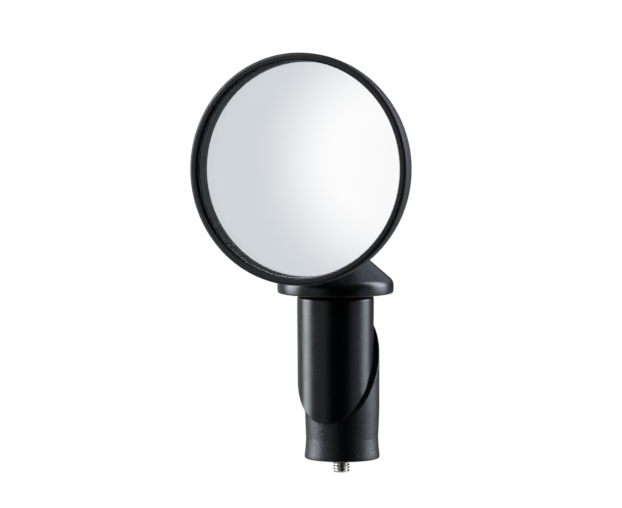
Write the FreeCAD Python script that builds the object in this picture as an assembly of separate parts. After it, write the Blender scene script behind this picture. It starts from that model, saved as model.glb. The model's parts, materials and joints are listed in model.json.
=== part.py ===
"""Bar-end bike mirror: a round convex mirror on a ball-jointed arm.

The arm's swivel cap turns on a wedge expander plug, which clamps inside the open end of a handlebar.

Frame, in millimetres: +Z runs up along the plug's axis, away from the handlebar. The origin is where that
axis meets the flange's underside, which rests on the end of the handlebar. The mirror faces -Y.
"""
import FreeCAD, Part
import math
import os

from FreeCAD import Placement, Rotation, Vector

X = Vector(1, 0, 0)
Y = Vector(0, 1, 0)
Z = Vector(0, 0, 1)
ORIGIN = Vector(0, 0, 0)

# Clearances
RUN = 0.05            # radial gap of a running fit
GAP = 0.3             # gap between faces that move past each other

# Expander plug
PLUG_R = 9.1          # upper wedge, fits a handlebar bore of 18.5 to 21 mm
TAPER_Z = -4.6        # below this the upper wedge has a slight moulding taper
TIP_R = 8.9           # its radius at the end of that taper
TIP_Z = -30.65        # its blunt tip
LOWER_R = 8.85        # lower wedge, a little slimmer
LOWER_TOP_Z = -5.0
SLANT = 55.8          # wedge faces, degrees from horizontal
SLANT_Z = -18.1       # where the upper wedge's slanted face crosses the axis
SLANT_GAP = 0.1       # between the two slanted faces
FOOT_Z = -39.4        # underside of the lower wedge
SIDE_PLAY = 1.45      # how far the loose lower wedge stands to one side
OUT = 0.75            # how far it stands out from the slant at rest
CLIMB = 2.8           # how much further out it moves when it is clamped
BACK_OFF = 1.0        # how far back it moves when it is loosened
PLUG_TURN = 6.0       # how far the plug stands turned from the mirror's direction, degrees

# Bolt, washer and nut
BOLT_R = 2.0
BOLT_LENGTH = 32.6
BOLT_HEAD_R = 3.5
BOLT_HEAD_H = 4.0
THREAD_PITCH = 0.7
THREAD_DEPTH = 0.43
THREAD_LENGTH = 20.0
WASHER_R = 4.0
WASHER_T = 0.8
SEAT_Z = -11.0        # floor of the upper wedge's pocket
NUT_FLATS = 7.0
NUT_H = 3.2

# Swivel
FLANGE_R = 13.8
HUB_R = 6.0
HUB_Z = -5.6
KEY_BORE_R = 3.0
DOME_Z = 9.6          # top of the cap's dome
RING_Z = -4.9         # underside of the snap ring
RING_T = 0.8

# Mirror head
HEAD_TILT = 2.8       # how far the mirror faces up, degrees
LIP_CENTRE = Vector(0, -25.1, 30.57)
LIP_R = 25.1
BEZEL_R = 26.85
BEZEL_BORE_R = 25.9
GLASS_R = 25.65
GLASS_T = 3.0
GLASS_EDGE = 1.3      # depth of the glass's front edge behind the lip
CONVEX_R = 600.0
SHELL_R = 25.8
SHELL_BACK = 9.0
SHELL_FRONT = 5.0
SHELL_FLOOR = 7.5
PAD_BACK = 4.95
RIB_COUNT = 6

# Ball joint
BALL_R = 4.0
SEAT_R = 5.2          # outside of the nylon seat
SOCKET_R = 7.4        # outside of the arm's ball socket
COLLAR_R = 6.9
COLLAR_BACK = 7.2
STEM_R = 1.45         # shank of the ball stud, M3
NECK_R = 1.8
BALL_DEPTH = 17.3     # depth of the ball's centre behind the lip

OPENING_LIFT = 10.0   # the socket's mouth points this much above level, degrees

UP_SLOPE = Vector(0, math.cos(math.radians(SLANT)), math.sin(math.radians(SLANT)))
SLANT_NORMAL = Vector(0, -UP_SLOPE.z, UP_SLOPE.y)
FACING = Vector(0, -math.cos(math.radians(HEAD_TILT)), math.sin(math.radians(HEAD_TILT)))
BALL_CENTRE = LIP_CENTRE - FACING * BALL_DEPTH
HEAD_FRAME = Placement(LIP_CENTRE, Rotation(X, 90 - HEAD_TILT))
BALL_FRAME = Placement(BALL_CENTRE, Rotation(X, 90))


def outline(start, *steps):
    """A face in the XZ plane. A step is a point for a straight side, or a pair (through, end) for an arc."""
    def spot(point):
        return Vector(point[0], 0, point[1])

    edges = []
    here = spot(start)
    for step in steps + (start,):
        if isinstance(step[0], tuple):
            through, end = spot(step[0]), spot(step[1])
            edges.append(Part.Arc(here, through, end).toShape())
        else:
            end = spot(step)
            if end.distanceToPoint(here) > 1e-6:
                edges.append(Part.LineSegment(here, end).toShape())
        here = end
    return Part.Face(Part.Wire(edges))


def turned(face):
    """The solid that an outline sweeps round Z."""
    return face.revolve(ORIGIN, Z, 360)


def rod(radius, low, high):
    """An upright cylinder from one height to another."""
    return Part.makeCylinder(radius, high - low, Vector(0, 0, low))


def ring(outer, inner, low, high):
    return rod(outer, low, high).cut(rod(inner, low - 1, high + 1))


def stadium(radius, left, right, low, high, along=X):
    """An upright bar with round ends, whose end centres are at left and right along X or Y."""
    across = Y if along == X else X
    corners = [along * left - across * radius, along * right - across * radius,
               along * right + across * radius, along * left + across * radius]
    block = Part.Face(Part.makePolygon(corners + corners[:1])).extrude(Z * (high - low))
    block.translate(Z * low)
    ends = [rod(radius, low, high).translate(along * place) for place in (left, right)]
    return block.fuse(ends).removeSplitter()


def hexagon(flats, low, high):
    corner = flats / math.sqrt(3)
    points = [Vector(corner * math.cos(math.radians(60 * k)), corner * math.sin(math.radians(60 * k)), low)
              for k in range(7)]
    return Part.Face(Part.makePolygon(points)).extrude(Z * (high - low))


def slant_block(offset, above):
    """Everything above or below the wedges' slanted plane, moved by offset along its normal."""
    size = 90.0
    low = 0.0 if above else -size
    block = Part.makeBox(size, size, size, Vector(-size / 2, -size / 2, low))
    block.Placement = Placement(Z * SLANT_Z + SLANT_NORMAL * offset, Rotation(X, SLANT))
    return block


def rim_rounded(solid, radius, facing):
    """Rounds the outer edge of the flat face that looks along facing."""
    for face in solid.Faces:
        if isinstance(face.Surface, Part.Plane) and face.normalAt(0, 0).dot(facing) > 0.999:
            return solid.makeFillet(radius, face.OuterWire.Edges)
    raise ValueError("no such face")


def placed(solid, frame):
    moved = solid.copy()
    moved.Placement = frame
    return moved


def plug_placed(solid):
    """Turns a piece of the plug, built with its slant towards -Y, to where the plug stands."""
    return solid.rotate(ORIGIN, Z, PLUG_TURN)


# ---------------------------------------------------------------------------------------------- expander plug

def upper_wedge():
    edge = 1.2
    top = -GAP
    tip_edge = 0.9
    body = turned(outline((0, top), (PLUG_R - edge, top),
                          ((PLUG_R - edge * 0.293, top - edge * 0.293), (PLUG_R, top - edge)),
                          (PLUG_R, TAPER_Z), (TIP_R, TIP_Z + tip_edge),
                          ((TIP_R - tip_edge * 0.293, TIP_Z + tip_edge * 0.293), (TIP_R - tip_edge, TIP_Z)),
                          (0, TIP_Z)))
    body = body.cut(slant_block(0, above=False))
    body = rim_rounded(body, 0.3, SLANT_NORMAL * -1)
    hub_bore = rod(HUB_R + RUN, HUB_Z - GAP, 1)
    groove = ring(7.1, 5.0, RING_Z - RUN, RING_Z + RING_T + RUN)
    washer_bed = rod(8.0, -0.9, 1)
    pocket = stadium(WASHER_R + 0.25, -SIDE_PLAY, SIDE_PLAY, SEAT_Z, HUB_Z)
    bolt_slot = stadium(BOLT_R + GAP, -SIDE_PLAY, SIDE_PLAY, -45, SEAT_Z + 1)
    return plug_placed(body.cut([hub_bore, groove, washer_bed, pocket, bolt_slot]))


def lower_wedge():
    """A waisted plug with a flared foot, a slot for the bolt and a nut pocket that is open below."""
    low_edge = 0.35
    foot = LOWER_R + 0.05
    waist = LOWER_R - 0.27
    body = turned(outline((0, FOOT_Z), (foot - low_edge, FOOT_Z),
                          ((foot - 0.1, FOOT_Z + 0.1), (foot, FOOT_Z + low_edge)), (foot, FOOT_Z + 0.9),
                          ((waist + 0.12, FOOT_Z + 2.8), (waist, FOOT_Z + 5)),
                          ((waist + 0.16, FOOT_Z + 8.6), (LOWER_R, FOOT_Z + 12.3)),
                          (LOWER_R, LOWER_TOP_Z), (0, LOWER_TOP_Z)))
    body.translate(Y * OUT)
    body = body.cut(slant_block(-SLANT_GAP, above=True))
    body = rim_rounded(body, 0.2, SLANT_NORMAL)
    slot = stadium(BOLT_R + GAP, -CLIMB, BACK_OFF, FOOT_Z - 1, 0, along=Y)
    across = NUT_FLATS / 2 + 0.1
    long = NUT_FLATS / math.sqrt(3) + 0.25
    pocket = Part.makeBox(2 * across, 2 * long + CLIMB + BACK_OFF, NUT_H + 1.1,
                          Vector(-across, -long - CLIMB, FOOT_Z - 0.4))
    body = body.cut([slot, pocket])
    return plug_placed(body.translate(X * SIDE_PLAY))


def expander_bolt():
    """Socket-head bolt with a helical thread on its lower end."""
    head_z = SEAT_Z + WASHER_T + 0.1
    tip_z = head_z - BOLT_LENGTH
    chamfer = 0.35
    body = turned(outline((0, tip_z), (BOLT_R - chamfer, tip_z), (BOLT_R, tip_z + chamfer), (BOLT_R, head_z),
                          (BOLT_HEAD_R, head_z), (BOLT_HEAD_R, head_z + BOLT_HEAD_H - 0.3),
                          (BOLT_HEAD_R - 0.3, head_z + BOLT_HEAD_H), (0, head_z + BOLT_HEAD_H)))
    key_socket = hexagon(3.0, head_z + BOLT_HEAD_H - 2.2, head_z + BOLT_HEAD_H + 1)
    body = body.cut([key_socket, thread_groove(tip_z - THREAD_PITCH, THREAD_LENGTH)])
    return plug_placed(body.translate(X * SIDE_PLAY))


def thread_groove(start_z, length):
    """The V-shaped groove of the thread, swept along a helix."""
    helix = Part.makeHelix(THREAD_PITCH, length, BOLT_R - THREAD_DEPTH)
    half = THREAD_PITCH * 0.46
    reach = 0.12
    root = BOLT_R - THREAD_DEPTH
    widen = half * (1 + reach / THREAD_DEPTH)
    corners = [Vector(root, 0, 0.05), Vector(BOLT_R + reach, 0, widen),
               Vector(BOLT_R + reach, 0, -widen), Vector(root, 0, -0.05)]
    section = Part.makePolygon(corners + corners[:1])
    groove = Part.Wire(helix).makePipeShell([section], True, True)
    groove.translate(Z * start_z)
    return groove


def bolt_washer():
    low = SEAT_Z + 0.05
    return plug_placed(ring(WASHER_R, BOLT_R + 0.15, low, low + WASHER_T).translate(X * SIDE_PLAY))


def hex_nut():
    """The nut lies in the lower wedge's pocket and is drawn up against its roof."""
    top = FOOT_Z + NUT_H + 0.6
    chamfered = turned(outline((0, top - NUT_H), (3.6, top - NUT_H), (4.1, top - NUT_H + 0.3),
                               (4.1, top - 0.3), (3.6, top), (0, top)))
    body = hexagon(NUT_FLATS, top - NUT_H, top).common(chamfered)
    body.rotate(ORIGIN, Z, 30)
    return plug_placed(body.cut(rod(BOLT_R + 0.06, -60, 0)).translate(X * SIDE_PLAY))


# ---------------------------------------------------------------------------------------------------- swivel

def swivel_cap():
    """Flange and dome, the hub that turns in the plug, and the arm that carries the ball socket."""
    inner = PLUG_R + 0.3
    edge_r = 6.5
    shoulder_r = 2.2
    low_turn, high_turn, slope_turn = (math.radians(angle) for angle in (-8.4, 6.0, 49.1))
    edge_x = FLANGE_R - edge_r
    edge_z = 1.4
    shoulder_x = edge_x + (edge_r - shoulder_r) * math.cos(high_turn)
    shoulder_z = edge_z + (edge_r - shoulder_r) * math.sin(high_turn)

    def on_edge(turn):
        return (edge_x + edge_r * math.cos(turn), edge_z + edge_r * math.sin(turn))

    def on_shoulder(turn):
        return (shoulder_x + shoulder_r * math.cos(turn), shoulder_z + shoulder_r * math.sin(turn))

    dome = turned(outline((0, HUB_Z), (HUB_R - 0.4, HUB_Z), (HUB_R, HUB_Z + 0.4), (HUB_R, GAP), (inner, GAP),
                          (inner, 0), (FLANGE_R - 0.5, 0), ((FLANGE_R - 0.2, 0.13), on_edge(low_turn)),
                          (on_edge(0), on_edge(high_turn)),
                          (on_shoulder((high_turn + slope_turn) / 2), on_shoulder(slope_turn)),
                          (7.15, DOME_Z - 1.0), ((6.2, DOME_Z - 0.3), (5.0, DOME_Z)), (0, DOME_Z)))
    body = dome.fuse(swivel_arm()).removeSplitter()
    body = stem_blended(body, 2.0, (Part.Cone, Part.Plane, Part.Toroid))
    body = stem_blended(body, 1.5, (Part.Sphere, Part.Cylinder))
    key_bore = rod(KEY_BORE_R, HUB_Z - 1, 12)
    hub_bore = rod(HUB_R - 2.2, HUB_Z - 1, -0.8)
    groove = ring(HUB_R + 1, 5.2, RING_Z - RUN, RING_Z + RING_T + RUN)
    key_room = rod(4.3, DOME_Z, 15).fuse(Part.makeSphere(4.3, Z * 15))
    body = body.cut([key_bore, hub_bore, groove, key_room])
    return body.cut(socket_hollow())


def swivel_arm():
    """The arm rises in front of the key hole. Each station gives height, place in Y and radius."""
    back = BALL_CENTRE.y
    stations = [(1.0, -5.0, 6.2), (6.0, -6.3, 5.9), (9.5, -7.0, 5.4), (14.0, -7.6, 4.9), (18.5, back, 4.8),
                (22.5, back, 5.3), (26.0, back, 6.2), (29.0, back, 6.6)]
    sections = [Part.Wire(Part.makeCircle(radius, Vector(0, place, height), Z))
                for height, place, radius in stations]
    stem = Part.makeLoft(sections, True, False)
    ball_end = Part.makeSphere(SOCKET_R, BALL_CENTRE)
    collar = placed(rod(COLLAR_R, -COLLAR_BACK, 0), BALL_FRAME)
    circles = [edge for edge in collar.Edges if isinstance(edge.Curve, Part.Circle)]
    collar = collar.makeChamfer(0.6, [edge for edge in circles if edge.CenterOfMass.y > back + 5])
    return stem.fuse([ball_end, collar]).removeSplitter()


def stem_blended(body, radius, kinds):
    """Fillets the edges where the arm's lofted stem meets faces of these kinds."""
    edges = []
    for edge in body.Edges:
        beside = [type(face.Surface) for face in body.ancestorsOfType(edge, Part.Face)]
        if Part.BSplineSurface in beside and any(kind in beside for kind in kinds):
            edges.append(edge)
    return body.makeFillet(radius, edges)


def socket_hollow():
    """Chamber for the ball seat, the threaded bore behind it and the mouth that the stud leaves by."""
    chamber = Part.makeSphere(SEAT_R + RUN, BALL_CENTRE)
    rear_bore = placed(rod(SEAT_R + RUN, -3.0, 0), BALL_FRAME)
    plug_bore = placed(rod(5.65, -9, -2.5), BALL_FRAME)
    mouth = Part.makeCone(1.9, 1.9 + 0.55 * 10, 10)
    mouth.Placement = Placement(BALL_CENTRE, Rotation(X, 90 - OPENING_LIFT))
    return [chamber, rear_bore, plug_bore, mouth]


def key_hole_cover():
    seat = DOME_Z + 0.05
    stem = rod(KEY_BORE_R - RUN, seat - 3.85, seat)
    crown = seat + 0.95
    dome_r = (3.8 ** 2 + 0.7 ** 2) / (2 * 0.7)
    halfway = crown - dome_r + math.sqrt(dome_r ** 2 - 1.9 ** 2)
    head = turned(outline((0, seat), (3.8, seat), (3.8, crown - 0.7), ((1.9, halfway), (0, crown))))
    hollow = rod(2.0, seat - 4.5, seat - 0.25)
    return stem.fuse(head).cut(hollow).removeSplitter()


def friction_washer():
    return ring(7.8, HUB_R + 0.15, -0.85, GAP - RUN)


def snap_ring():
    split = Part.makeBox(4, 1.6, 4, Vector(4, -0.8, RING_Z - 1))
    return ring(6.85, 5.3, RING_Z, RING_Z + RING_T).cut(split)


# ------------------------------------------------------------------------------------------------ ball joint

def ball_seat(front):
    """Half of the nylon seat. The front half has an upright slot in which the stud tilts."""
    shell = Part.makeSphere(SEAT_R).cut(Part.makeSphere(BALL_R + RUN))
    low = 0.1 if front else -10.1
    half = shell.common(Part.makeBox(20, 20, 10, Vector(-10, -10, low)))
    half = placed(half, BALL_FRAME)
    if not front:
        return half
    slot = Part.makeBox(2 * (NECK_R + GAP), 2 * 3.3, 9, Vector(-NECK_R - GAP, -3.3, 0))
    slot.Placement = Placement(BALL_CENTRE, Rotation(X, 90 - OPENING_LIFT))
    return half.cut(slot)


def socket_plug():
    """Screwed in behind the seat, with a coin slot in its back."""
    back = -COLLAR_BACK + 0.2
    body = rod(5.6, back, -2.6)
    body = body.cut([Part.makeSphere(SEAT_R + RUN), Part.makeBox(12, 1.4, 2.0, Vector(-6, -0.7, back - 1.0))])
    return placed(body, BALL_FRAME)


def ball_stud():
    ball = Part.makeSphere(BALL_R, Z * -BALL_DEPTH)
    neck = rod(NECK_R, -BALL_DEPTH, -9.65)
    shank = rod(STEM_R, -9.7, -5.15)
    return placed(ball.fuse([neck, shank]).removeSplitter(), HEAD_FRAME)


def stud_washer():
    return placed(ring(3.2, STEM_R + RUN, -SHELL_FLOOR + 0.05, -SHELL_FLOOR + 0.55), HEAD_FRAME)


def stud_nut():
    low = -SHELL_FLOOR + 0.6
    return placed(hexagon(5.5, low, low + 1.65).cut(rod(STEM_R + 0.03, low - 1, low + 3)), HEAD_FRAME)


# ----------------------------------------------------------------------------------------------- mirror head

def lens(radius, front_edge, back_edge):
    """A disc between two parallel convex surfaces."""
    front_sag = CONVEX_R - math.sqrt(CONVEX_R ** 2 - radius ** 2)
    half = radius / 2
    half_sag = CONVEX_R - math.sqrt(CONVEX_R ** 2 - half ** 2)
    return turned(outline((0, -back_edge + front_sag), (0, -front_edge + front_sag),
                          ((half, -front_edge + front_sag - half_sag), (radius, -front_edge)),
                          (radius, -back_edge),
                          ((half, -back_edge + front_sag - half_sag), (0, -back_edge + front_sag))))


def mirror_glass():
    return placed(lens(GLASS_R, GLASS_EDGE, GLASS_EDGE + GLASS_T), HEAD_FRAME)


def foam_pad():
    radius = GLASS_R - 0.4
    edge = GLASS_EDGE + GLASS_T + 0.08
    sag = CONVEX_R - math.sqrt(CONVEX_R ** 2 - radius ** 2)
    half = radius / 2
    half_sag = CONVEX_R - math.sqrt(CONVEX_R ** 2 - half ** 2)
    pad = turned(outline((0, -PAD_BACK), (0, -edge + sag), ((half, -edge + sag - half_sag), (radius, -edge)),
                         (radius, -PAD_BACK)))
    return placed(pad, HEAD_FRAME)


def bezel_ring():
    """Rounded ring: a lip in front of the glass, and a hook that snaps behind the shell's rim."""
    hook = 25.2
    return placed(turned(outline((LIP_R, -0.4), ((LIP_R + 0.1, -0.1), (LIP_R + 0.35, 0)), (BEZEL_R - 0.72, 0),
                                 ((BEZEL_R - 0.19, -0.25), (BEZEL_R, -0.95)),
                                 ((BEZEL_R - 0.12, -3.3), (BEZEL_R - 0.7, -5.4)),
                                 ((25.95, -6.05), (25.5, -6.5)), (hook, -6.45), (hook, -5.95),
                                 (BEZEL_BORE_R, -5.95), (BEZEL_BORE_R, -1.25), (LIP_R, -1.15))), HEAD_FRAME)


def head_shell():
    """Shallow dish with a rim for the bezel, ribs behind the pad and a boss for the stud."""
    rim_back = -5.9
    dish = turned(outline((0, -SHELL_FRONT), (SHELL_R, -SHELL_FRONT), (SHELL_R, rim_back),
                          (25.1, rim_back), ((23.6, -7.9), (20.0, -SHELL_BACK)), (6.0, -SHELL_BACK),
                          ((5.2, -9.15), (4.8, -9.6)), (0, -9.6)))
    hollow = turned(outline((0, -SHELL_FLOOR), (20.5, -SHELL_FLOOR), ((22.3, -6.9), (23.0, -5.8)),
                            (23.0, -4.9), (0, -4.9)))
    dish = dish.cut(hollow)
    ribs = []
    for k in range(RIB_COUNT):
        rib = Part.makeBox(17.5, 1.2, SHELL_FLOOR - SHELL_FRONT + 0.1, Vector(4.6, -0.6, -SHELL_FLOOR - 0.1))
        rib.rotate(ORIGIN, Z, k * 360 / RIB_COUNT + 30)
        ribs.append(rib)
    dish = dish.fuse(ribs).removeSplitter()
    return placed(dish.cut(rod(STEM_R + RUN, -12, 0)), HEAD_FRAME)


PARTS = {
    "mirror_glass": mirror_glass,
    "foam_pad": foam_pad,
    "bezel_ring": bezel_ring,
    "head_shell": head_shell,
    "ball_stud": ball_stud,
    "stud_washer": stud_washer,
    "stud_nut": stud_nut,
    "seat_front": lambda: ball_seat(True),
    "seat_rear": lambda: ball_seat(False),
    "socket_plug": socket_plug,
    "swivel_cap": swivel_cap,
    "key_hole_cover": key_hole_cover,
    "friction_washer": friction_washer,
    "snap_ring": snap_ring,
    "upper_wedge": upper_wedge,
    "bolt_washer": bolt_washer,
    "expander_bolt": expander_bolt,
    "hex_nut": hex_nut,
    "lower_wedge": lower_wedge,
}

os.makedirs("parts", exist_ok=True)
for name, make in PARTS.items():
    solid = make()
    print(name, "valid", solid.isValid(), "solids", len(solid.Solids), "volume", round(solid.Volume, 1),
          "faces", len(solid.Faces))
    solid.exportStep(f"parts/{name}.step")
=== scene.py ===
"""Looks of the bar-end bike mirror: camera, materials, mirror glass, floor and studio light."""

import json
import math

import bmesh
import bpy
from mathutils import Matrix, Vector


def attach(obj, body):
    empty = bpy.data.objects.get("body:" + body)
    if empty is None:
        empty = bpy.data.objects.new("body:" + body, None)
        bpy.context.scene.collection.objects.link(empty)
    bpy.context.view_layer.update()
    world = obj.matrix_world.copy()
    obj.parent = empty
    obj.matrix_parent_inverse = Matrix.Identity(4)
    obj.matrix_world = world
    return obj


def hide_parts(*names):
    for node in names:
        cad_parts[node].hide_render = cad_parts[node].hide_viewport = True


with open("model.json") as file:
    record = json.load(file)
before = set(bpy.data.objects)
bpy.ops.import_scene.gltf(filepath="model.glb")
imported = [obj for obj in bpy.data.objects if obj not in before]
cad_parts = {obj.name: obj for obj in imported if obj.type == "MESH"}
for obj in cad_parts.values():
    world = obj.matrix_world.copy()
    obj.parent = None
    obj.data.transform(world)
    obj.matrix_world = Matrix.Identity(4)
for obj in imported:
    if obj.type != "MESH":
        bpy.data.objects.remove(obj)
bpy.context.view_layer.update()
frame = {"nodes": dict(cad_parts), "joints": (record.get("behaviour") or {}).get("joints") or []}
MM = 0.001

# ---------------------------------------------------------------------------------- the head's frame

BALL_DEPTH = 17.3 * MM      # from the bezel's lip plane back to the ball's centre
spin = next(joint for joint in frame["joints"] if joint["name"] == "head_spin")
facing = Vector(spin["axis"]).normalized()
lip_centre = Vector(spin["pos_m"]) + facing * BALL_DEPTH
head_turn = Vector((0, 0, 1)).rotation_difference(facing)
head_frame = Matrix.Translation(lip_centre) @ head_turn.to_matrix().to_4x4()


# -------------------------------------------------------------------------------------------- camera

CAMERA_AZIMUTH = 21.3
CAMERA_ELEVATION = 4.5
CAMERA_DISTANCE = 0.9
CAMERA_LENS = 219.9
AIM_RIGHT = -5.8 * MM
AIM_UP = 9.15 * MM


def make_camera():
    a, e = math.radians(CAMERA_AZIMUTH), math.radians(CAMERA_ELEVATION)
    back = Vector((math.sin(a) * math.cos(e), -math.cos(a) * math.cos(e), math.sin(e)))
    right = Vector((math.cos(a), math.sin(a), 0))
    up = back.cross(right)
    data = bpy.data.cameras.new("camera")
    data.sensor_width = 36.0
    data.lens = CAMERA_LENS
    data.clip_start = 0.01
    data.clip_end = 50.0
    camera = bpy.data.objects.new("camera", data)
    camera.location = right * AIM_RIGHT + up * AIM_UP + back * CAMERA_DISTANCE
    camera.rotation_euler = Matrix((right, up, back)).transposed().to_euler()
    bpy.context.scene.collection.objects.link(camera)
    bpy.context.scene.camera = camera


# -------------------------------------------------------------------------------------- node helpers

class Tree:
    """Short names for building a node tree."""

    def __init__(self, owner):
        owner.use_nodes = True
        self.tree = owner.node_tree
        self.tree.nodes.clear()

    def add(self, kind, inputs=None, **settings):
        node = self.tree.nodes.new(kind)
        for name, value in settings.items():
            setattr(node, name, value)
        for name, value in (inputs or {}).items():
            socket = node.inputs[name]
            if isinstance(value, bpy.types.NodeSocket):
                self.tree.links.new(value, socket)
            else:
                socket.default_value = value
        return node

    def math(self, operation, a, b=0.0):
        return self.add("ShaderNodeMath", {0: a, 1: b}, operation=operation).outputs[0]

    def remap(self, value, low, high, to_low=0.0, to_high=1.0, smooth=False):
        kind = "SMOOTHSTEP" if smooth else "LINEAR"
        node = self.add("ShaderNodeMapRange", {0: value, 1: low, 2: high, 3: to_low, 4: to_high},
                        interpolation_type=kind)
        return node.outputs[0]

    def noise(self, coordinates, scale, detail=2.0, roughness=0.5):
        node = self.add("ShaderNodeTexNoise", {"Vector": coordinates, "Scale": scale, "Detail": detail,
                                               "Roughness": roughness})
        return node.outputs[0]

    def sum(self, a, b):
        return self.add("ShaderNodeVectorMath", {0: a, 1: b}, operation="ADD").outputs[0]

    def mix(self, share, a, b):
        node = self.add("ShaderNodeMix", {0: share, 6: a, 7: b}, data_type="RGBA")
        return node.outputs[2]


WHITE = (1, 1, 1, 1)
BLACK = (0, 0, 0, 1)
BLOTCH = 0.04               # how much the roughness of a moulding wanders
BLOTCH_SCALE = 180.0
COARSE_SHARE = 0.65         # of the grain of a moulding, and the rest is finer
FINER = 2.7
MARK_DEPTH = 0.01 * MM      # of the fine marks on metal and on ground glass


def moulded(name, base, roughness, grain, grain_size, specular):
    """Moulded plastic, rubber or foam.

    grain is the bump's height and grain_size its scale, both in metres.
    """
    material = bpy.data.materials.new(name)
    t = Tree(material)
    place = t.add("ShaderNodeTexCoord").outputs["Object"]
    coarse = t.noise(place, 1 / grain_size, 3.0, 0.6)
    fine = t.noise(place, FINER / grain_size, 2.0, 0.5)
    grains = t.math("ADD", t.math("MULTIPLY", coarse, COARSE_SHARE),
                    t.math("MULTIPLY", fine, 1 - COARSE_SHARE))
    cloud = t.noise(place, BLOTCH_SCALE, 3.0, 0.55)
    colour = t.mix(t.remap(grains, 0.35, 0.65), tuple(0.7 * c for c in base[:3]) + (1.0,), base)
    rough = t.math("ADD", t.remap(cloud, 0.3, 0.7, roughness - BLOTCH, roughness + BLOTCH),
                   t.remap(grains, 0.3, 0.7, 0.03, -0.03))
    bump = t.add("ShaderNodeBump", {"Height": grains, "Distance": grain, "Strength": 1.0})
    shader = t.add("ShaderNodeBsdfPrincipled", {"Base Color": colour, "Roughness": rough,
                                                "Specular IOR Level": specular, "Normal": bump.outputs[0]})
    t.add("ShaderNodeOutputMaterial", {"Surface": shader.outputs[0]})
    return material


def metal(name, colour, roughness, brush):
    """Plated or phosphated steel with fine marks round the axis of turning."""
    material = bpy.data.materials.new(name)
    t = Tree(material)
    place = t.add("ShaderNodeTexCoord").outputs["Object"]
    stretch = t.add("ShaderNodeMapping", {"Vector": place, "Scale": (1.0, 1.0, 9.0)}).outputs[0]
    marks = t.noise(stretch, brush, 4.0, 0.65)
    stain = t.noise(place, 700.0, 3.0, 0.6)
    dull = tuple(0.55 * c for c in colour[:3]) + (1.0,)
    tint = t.mix(t.remap(stain, 0.35, 0.75), colour, dull)
    rough = t.remap(marks, 0.3, 0.7, roughness - 0.06, roughness + 0.1)
    bump = t.add("ShaderNodeBump", {"Height": marks, "Distance": MARK_DEPTH, "Strength": 0.6})
    shader = t.add("ShaderNodeBsdfPrincipled", {"Base Color": tint, "Metallic": 1.0, "Roughness": rough,
                                                "Normal": bump.outputs[0]})
    t.add("ShaderNodeOutputMaterial", {"Surface": shader.outputs[0]})
    return material


def clear_glass(name):
    material = bpy.data.materials.new(name)
    t = Tree(material)
    place = t.add("ShaderNodeTexCoord").outputs["Object"]
    smear = t.remap(t.noise(place, 60.0, 3.0, 0.6), 0.55, 0.8, 0.0, 0.012)
    shader = t.add("ShaderNodeBsdfPrincipled", {"Base Color": (0.97, 0.975, 0.975, 1.0), "Roughness": smear,
                                                "IOR": 1.52, "Transmission Weight": 1.0})
    t.add("ShaderNodeOutputMaterial", {"Surface": shader.outputs[0]})
    return material


def ground_glass(name, dark, light):
    """A ground edge of the pane, with fine marks left by the wheel."""
    material = bpy.data.materials.new(name)
    t = Tree(material)
    place = t.add("ShaderNodeTexCoord").outputs["Object"]
    marks = t.noise(place, 4000.0, 3.0, 0.6)
    tint = t.mix(t.remap(marks, 0.3, 0.7), dark, light)
    bump = t.add("ShaderNodeBump", {"Height": marks, "Distance": MARK_DEPTH, "Strength": 0.5})
    rough = t.remap(marks, 0.3, 0.7, 0.45, 0.6)
    shader = t.add("ShaderNodeBsdfPrincipled", {"Base Color": tint, "Roughness": rough,
                                                "Specular IOR Level": 0.4, "Normal": bump.outputs[0]})
    t.add("ShaderNodeOutputMaterial", {"Surface": shader.outputs[0]})
    return material


def silver(name):
    material = bpy.data.materials.new(name)
    t = Tree(material)
    place = t.add("ShaderNodeTexCoord").outputs["Object"]
    cloud = t.remap(t.noise(place, 90.0, 2.0), 0.3, 0.7)
    tint = t.mix(cloud, (0.955, 0.96, 0.965, 1.0), (0.945, 0.95, 0.955, 1.0))
    shader = t.add("ShaderNodeBsdfPrincipled", {"Base Color": tint, "Metallic": 1.0, "Roughness": 0.0})
    t.add("ShaderNodeOutputMaterial", {"Surface": shader.outputs[0]})
    return material


# -------------------------------------------------------------------------------------- mesh helpers

def lathe(name, profile, place, steps, sharp):
    """A closed solid of revolution, with edges left sharp where they turn by more than sharp degrees.

    The profile is a list of (radius, height) points, and place takes it to the row frame.
    """
    shape = bmesh.new()
    rings = []
    for radius, height in profile:
        if radius < 1e-9:
            rings.append([shape.verts.new((0, 0, height))])
        else:
            rings.append([shape.verts.new((radius * math.cos(2 * math.pi * k / steps),
                                           radius * math.sin(2 * math.pi * k / steps), height))
                          for k in range(steps)])
    closed = len(rings[0]) > 1 or len(rings[-1]) > 1
    pairs = list(zip(rings, rings[1:])) + ([(rings[-1], rings[0])] if closed else [])
    for low, high in pairs:
        for k in range(steps):
            corners = [low[k % len(low)], low[(k + 1) % len(low)],
                       high[(k + 1) % len(high)], high[k % len(high)]]
            shape.faces.new(list(dict.fromkeys(corners)))
    bmesh.ops.recalc_face_normals(shape, faces=shape.faces)
    mesh = bpy.data.meshes.new(name)
    shape.to_mesh(mesh)
    shape.free()
    mesh.transform(place)
    mesh.polygons.foreach_set("use_smooth", [True] * len(mesh.polygons))
    mesh.set_sharp_from_angle(angle=math.radians(sharp))
    piece = bpy.data.objects.new(name, mesh)
    bpy.context.scene.collection.objects.link(piece)
    return piece


def stand_in(piece, finishes, body, slot, *nodes):
    """Gives the piece its materials and lets it take the place of CAD nodes."""
    for finish in finishes:
        piece.data.materials.append(finish)
    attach(piece, body)
    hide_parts(*nodes)


# -------------------------------------------------------------------------------------- mirror glass

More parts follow.
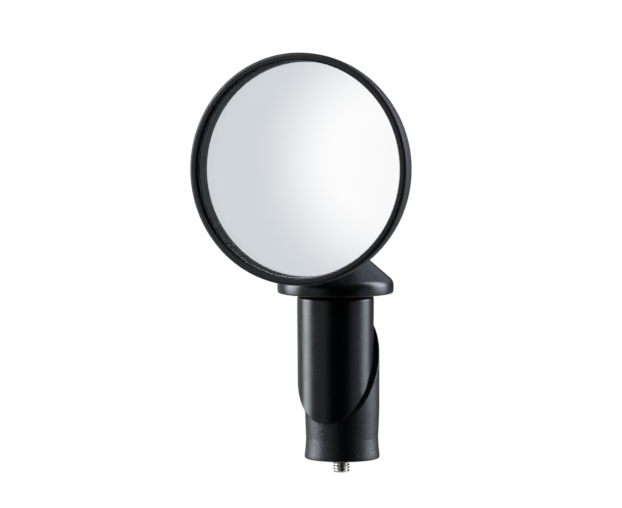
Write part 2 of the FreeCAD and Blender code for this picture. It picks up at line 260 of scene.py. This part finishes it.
GLASS_R = 25.65 * MM
GLASS_T = 3.0 * MM
GLASS_EDGE = 1.3 * MM       # depth of the front edge behind the lip
CONVEX_R = 600.0 * MM
LIP_R = 25.1 * MM           # the ring covers the pane outside this radius
BEVEL_DEPTH = 0.2 * MM
BEVEL_WIDTH = 0.7 * MM
FILM_T = 0.05 * MM
FILM_GAP = 0.01 * MM        # between the pane and the film
FILM_BEVEL = 0.005 * MM
FILM_INSET = 0.05 * MM
FACE_RINGS = 24
RIM_STEPS = 256
SHARP = 8.0
RIM_LEAN = 0.5              # the rim's and the rear bevel's normals lean out by more than this
BEVEL_LEAN = 0.15           # and the front bevel's by more than this, which the convex faces don't reach


def convex_height(radius, edge_depth):
    """Height, along the head's axis, of a convex face whose edge lies edge_depth behind the lip."""
    rise = math.sqrt(CONVEX_R ** 2 - radius ** 2) - math.sqrt(CONVEX_R ** 2 - GLASS_R ** 2)
    return rise - edge_depth


def convex_disc(name, radius, front_depth, back_depth, bevel, front_bevel, split=None):
    """A disc between two parallel convex faces.

    bevel is the depth of both bevels and the width of the rear one, and front_bevel is the width of the
    front one, which has one more edge at the radius split.
    """
    stations = [radius * k / FACE_RINGS for k in range(FACE_RINGS)]
    front = [(r, convex_height(r, front_depth)) for r in stations + [radius - front_bevel]]
    back = [(r, convex_height(r, back_depth)) for r in [radius - bevel] + stations[::-1]]
    rim = [(radius, front[-1][1] - bevel), (radius, back[0][1] + bevel)]
    if split:
        share = (split - front[-1][0]) / front_bevel
        rim.insert(0, (split, front[-1][1] - bevel * share))
    return lathe(name, front + rim + back, head_frame, RIM_STEPS, SHARP)


def make_mirror(materials):
    """The clear pane, its ground edges, the part of its front bevel under the lip painted near-black as
    painted shade, and the silver film behind it.
    """
    back_depth = GLASS_EDGE + GLASS_T
    pane = convex_disc("mirror_pane", GLASS_R, GLASS_EDGE, back_depth - FILM_T - FILM_GAP,
                       BEVEL_DEPTH, BEVEL_WIDTH, split=LIP_R)
    film = convex_disc("silver_film", GLASS_R - FILM_INSET, back_depth - FILM_T, back_depth,
                       FILM_BEVEL, FILM_BEVEL)
    pane_finishes = ["glass", "edge", "bevel", "under_lip_shade"]
    stand_in(pane, [materials[finish] for finish in pane_finishes], "head", "mirror", "mirror_glass")
    stand_in(film, [materials["silver"]], "head", "mirror", "mirror_glass")
    to_head = head_frame.inverted()
    for face in pane.data.polygons:
        outward = to_head @ face.center
        outward.z = 0.0
        lean = (to_head.to_3x3() @ face.normal).dot(outward.normalized())
        if lean > RIM_LEAN:
            face.material_index = pane_finishes.index("edge")
        elif lean > BEVEL_LEAN:
            # the front bevel outside LIP_R is painted near-black: painted shade where the ring's lip covers
            # the pane
            front = "under_lip_shade" if outward.length > LIP_R else "bevel"
            face.material_index = pane_finishes.index(front)


# --------------------------------------------------------------------------------------------- stage

FLOOR_HALF = 12.0
FLOOR_Z = -0.3


def make_stage():
    """A pale floor well below the part, which mirrors and glass don't see."""
    mesh = bpy.data.meshes.new("floor")
    corners = [(-FLOOR_HALF, -FLOOR_HALF), (FLOOR_HALF, -FLOOR_HALF),
               (FLOOR_HALF, FLOOR_HALF), (-FLOOR_HALF, FLOOR_HALF)]
    mesh.from_pydata([(x, y, FLOOR_Z) for x, y in corners], [], [(0, 1, 2, 3)])
    floor = bpy.data.objects.new("floor", mesh)
    material = bpy.data.materials.new("floor")
    t = Tree(material)
    seen = t.add("ShaderNodeLightPath").outputs["Is Camera Ray"]
    pale = t.add("ShaderNodeEmission", {"Color": WHITE, "Strength": 1.0})
    dim = t.add("ShaderNodeBsdfDiffuse", {"Color": (0.05, 0.05, 0.055, 1)})
    mixed = t.add("ShaderNodeMixShader", {0: seen, 1: dim.outputs[0], 2: pale.outputs[0]})
    t.add("ShaderNodeOutputMaterial", {"Surface": mixed.outputs[0]})
    mesh.materials.append(material)
    bpy.context.scene.collection.objects.link(floor)
    floor.visible_glossy = False
    floor.visible_transmission = False


# --------------------------------------------------------------------------------------------- light

# Each soft box: azimuth from, azimuth to, edge softness, elevation from, elevation to, edge softness,
# colour, strength. Angles are in degrees, measured from the camera's side of the part, positive to the
# right. The last two boxes run on past 180, so that they have no soft edge at the back of the room.
SOFT_BOXES = [
    (-84, -26, 15, -45, 45, 15, (0.945, 0.98, 1.02), 0.742),
    (-112, -84, 10, -9, 55, 18, (0.94, 0.97, 1.07), 20.5),
    (-175, -116, 12, -30, 60, 15, (0.92, 0.98, 1.08), 0.45),
    (88, 116, 11, 0, 50, 20, (0.88, 0.93, 1.05), 20.0),
    (50, 120, 18, -40, 2, 12, (0.86, 0.92, 1.05), 1.05),
    (118, 165, 14, 15, 60, 14, (0.76, 0.9, 1.12), 0.9),
    (110, 170, 10, -55, -10, 12, (0.9, 0.94, 1.0), 0.5),
    (-180, 180, 1, 55, 90, 15, (0.85, 0.92, 1.0), 0.2),
    (-180, 180, 1, -90, -42, 12, (0.93, 0.96, 1.0), 0.2),
    (125, 250, 15, -85, -38, 12, (1.0, 0.98, 0.96), 1.1),
    (-250, -125, 15, -85, -38, 12, (1.0, 0.98, 0.96), 1.1),
]
# A round, soft and warmer patch of light, which the mirror shows.
GLOW_AZIMUTH = -37.4
GLOW_ELEVATION = 2.7
GLOW_INNER = 3.05
GLOW_OUTER = 8.65
GLOW_COLOUR = (0.3762, 0.33, 0.297, 1.0)
AMBIENT = (0.013, 0.014, 0.017)


def make_light():
    world = bpy.data.worlds.new("studio")
    bpy.context.scene.world = world
    t = Tree(world)
    direction = t.add("ShaderNodeTexCoord").outputs["Generated"]
    x, y, z = t.add("ShaderNodeSeparateXYZ", {0: direction}).outputs
    turn = math.radians(CAMERA_AZIMUTH)
    right = t.math("ADD", t.math("MULTIPLY", x, math.cos(turn)), t.math("MULTIPLY", y, math.sin(turn)))
    near = t.math("ADD", t.math("MULTIPLY", x, math.sin(turn)), t.math("MULTIPLY", y, -math.cos(turn)))
    azimuth = t.math("MULTIPLY", t.math("ARCTAN2", right, near), 180 / math.pi)
    elevation = t.math("MULTIPLY", t.math("ARCSINE", z), 180 / math.pi)

    def box_mask(box):
        az0, az1, az_soft, el0, el1, el_soft = box[:6]
        sides = [t.remap(azimuth, az0 - az_soft, az0 + az_soft, smooth=True),
                 t.remap(azimuth, az1 - az_soft, az1 + az_soft, 1.0, 0.0, smooth=True),
                 t.remap(elevation, el0 - el_soft, el0 + el_soft, smooth=True),
                 t.remap(elevation, el1 - el_soft, el1 + el_soft, 1.0, 0.0, smooth=True)]
        mask = sides[0]
        for side in sides[1:]:
            mask = t.math("MULTIPLY", mask, side)
        return mask

    total = None
    for box in SOFT_BOXES:
        colour = tuple(c * box[7] for c in box[6]) + (1.0,)
        layer = t.mix(box_mask(box), BLACK, colour)
        total = layer if total is None else t.sum(total, layer)
    across = t.math("SUBTRACT", azimuth, GLOW_AZIMUTH)
    along = t.math("SUBTRACT", elevation, GLOW_ELEVATION)
    away = t.math("SQRT", t.math("ADD", t.math("POWER", across, 2.0), t.math("POWER", along, 2.0)))
    glow = t.mix(t.remap(away, GLOW_INNER, GLOW_OUTER, 1.0, 0.0, smooth=True), BLACK, GLOW_COLOUR)
    total = t.sum(t.sum(total, glow), AMBIENT)
    studio = t.add("ShaderNodeBackground", {"Color": total, "Strength": 1.0})
    white = t.add("ShaderNodeBackground", {"Color": WHITE, "Strength": 1.0})
    seen = t.add("ShaderNodeLightPath").outputs["Is Camera Ray"]
    mixed = t.add("ShaderNodeMixShader", {0: seen, 1: studio.outputs[0], 2: white.outputs[0]})
    t.add("ShaderNodeOutputWorld", {"Surface": mixed.outputs[0]})
    bpy.context.scene.view_settings.view_transform = "Standard"


# ----------------------------------------------------------------------------------------- materials

def make_materials():
    """The materials by their short names.

    A moulding has a base colour, roughness, grain height, grain size and specular level, a metal has a
    colour, roughness and scale of its marks, and ground glass has its darkest and its lightest colour.
    """
    return {
        "satin": moulded("satin_black", (0.0022, 0.0023, 0.0027, 1), 0.26, 0.000002, 0.0004, 0.25),
        "ring": moulded("textured_black", (0.006, 0.006, 0.0065, 1), 0.55, 0.00002, 0.00022, 0.22),
        "wedge": moulded("textured_wedge", (0.0025, 0.0025, 0.003, 1), 0.37, 0.00011, 0.0005, 0.25),
        "nylon": moulded("nylon", (0.6, 0.59, 0.55, 1), 0.4, 0.000005, 0.0005, 0.4),
        "rubber": moulded("rubber", (0.008, 0.008, 0.0085, 1), 0.6, 0.00001, 0.0003, 0.3),
        "foam": moulded("foam", (0.03, 0.03, 0.032, 1), 0.9, 0.00008, 0.0006, 0.2),
        "steel": metal("steel", (0.60, 0.565, 0.53, 1), 0.22, 2500.0),
        "spring": metal("spring_steel", (0.16, 0.16, 0.17, 1), 0.4, 2500.0),
        "glass": clear_glass("mirror_glass"),
        "edge": ground_glass("ground_edge", (0.08, 0.12, 0.135, 1.0), (0.17, 0.215, 0.23, 1.0)),
        # near-black ground glass: painted shade for the part of the front bevel that lies under the lip
        "under_lip_shade": ground_glass("under_lip_painted_shade", (0.004, 0.005, 0.005, 1.0), (0.008, 0.009, 0.01, 1.0)),
        "bevel": ground_glass("ground_bevel", (0.80, 0.85, 0.88, 1.0), (0.9, 0.94, 0.96, 1.0)),
        "silver": silver("silver"),
    }


FINISHED_NODES = {
    "ring": ["bezel_ring", "head_shell"],
    "satin": ["swivel_cap", "socket_plug", "upper_wedge"],
    "wedge": ["lower_wedge"],
    "steel": ["ball_stud", "stud_washer", "stud_nut", "bolt_washer", "expander_bolt", "hex_nut"],
    "nylon": ["seat_front", "seat_rear", "friction_washer"],
    "rubber": ["key_hole_cover"],
    "foam": ["foam_pad"],
    "spring": ["snap_ring"],
}

make_camera()
materials = make_materials()
for finish, nodes in FINISHED_NODES.items():
    for node in nodes:
        mesh = frame["nodes"][node].data
        mesh.materials.clear()
        mesh.materials.append(materials[finish])
make_mirror(materials)
make_stage()
make_light()
